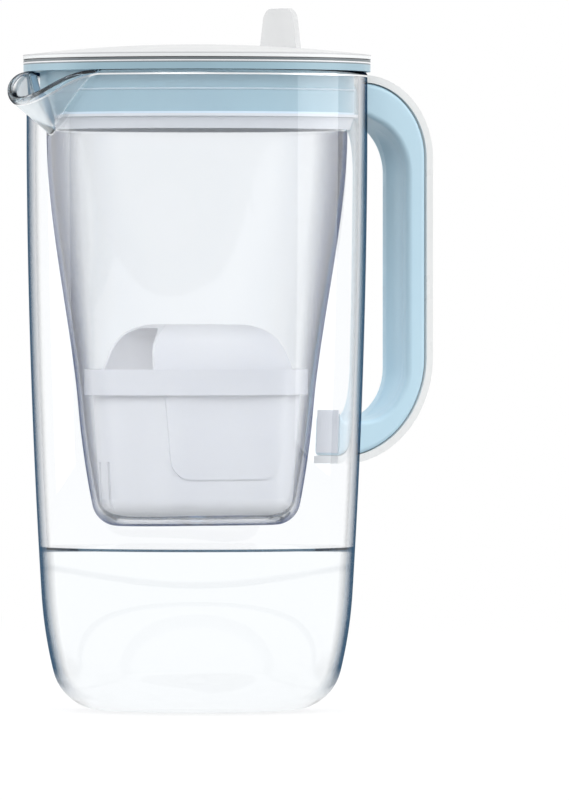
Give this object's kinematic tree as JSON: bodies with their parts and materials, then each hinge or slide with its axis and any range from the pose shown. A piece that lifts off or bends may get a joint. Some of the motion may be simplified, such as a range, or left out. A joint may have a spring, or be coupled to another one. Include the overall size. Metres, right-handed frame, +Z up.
{
  "type": "water filter pitcher",
  "caption": "Tall glass jug with a drawn spout and a bonded C handle; a hopper hung in the rim holds an oval filter cartridge under a lift-off lid with a hinged fill flap.",
  "frame": {"origin": "on the jug's axis, at the underside of its base", "axes": "+Z up along the jug's axis; +X towards the handle, so the spout is at -X; +Y across the jug"},
  "size_m": [0.2023, 0.148, 0.299],
  "materials": {
    "jug_glass": "clear, gloss",
    "grip_blue": "fine satin",
    "cover_white": "soft gloss",
    "bond_pad": "matte",
    "collar_blue": "satin",
    "gasket_grey": "matte",
    "hopper_clear": "clear, gloss",
    "lid_white": "soft gloss",
    "pin_steel": "drawn",
    "cartridge_white": "satin",
    "mesh_white": "fine woven mesh",
    "fleece_white": "fleece",
    "media_grains": "packed grains"
  },
  "bodies": {
    "jug": {"glass_jug": "jug_glass", "handle_grip": "grip_blue", "handle_cover": "cover_white", "upper_bond_pad": "bond_pad", "lower_bond_pad": "bond_pad"},
    "funnel": {"funnel_collar": "collar_blue", "collar_gasket": "gasket_grey", "funnel_hopper": "hopper_clear"},
    "lid": {"lid_top": "lid_white", "lid_frame": "lid_white", "flap_hinge_pin": "pin_steel"},
    "flap": {"fill_flap": "lid_white", "thumb_tab": "lid_white"},
    "cartridge": {"cartridge_body": "cartridge_white", "cartridge_cap": "cartridge_white", "inlet_screen_spout_side": "mesh_white", "inlet_screen_handle_side": "mesh_white", "cartridge_outlet_screen": "mesh_white", "cartridge_fleece": "fleece_white", "cartridge_media": "media_grains"}
  },
  "joints": [
    {"name": "funnel_lift", "type": "slide", "parent": "jug", "child": "funnel", "axis": [0, 0, 1], "range_m": [0, 0.2]},
    {"name": "lid_lift", "type": "slide", "parent": "funnel", "child": "lid", "axis": [0, 0, 1], "range_m": [0, 0.06]},
    {"name": "flap_hinge", "type": "hinge", "parent": "lid", "child": "flap", "pos_m": [0.044, 0, 0.27691], "axis": [0, 1, 0], "range_deg": [0, 70]},
    {"name": "cartridge_lift", "type": "slide", "parent": "funnel", "child": "cartridge", "axis": [0, 0, 1], "range_m": [0, 0.1]}
  ]
}
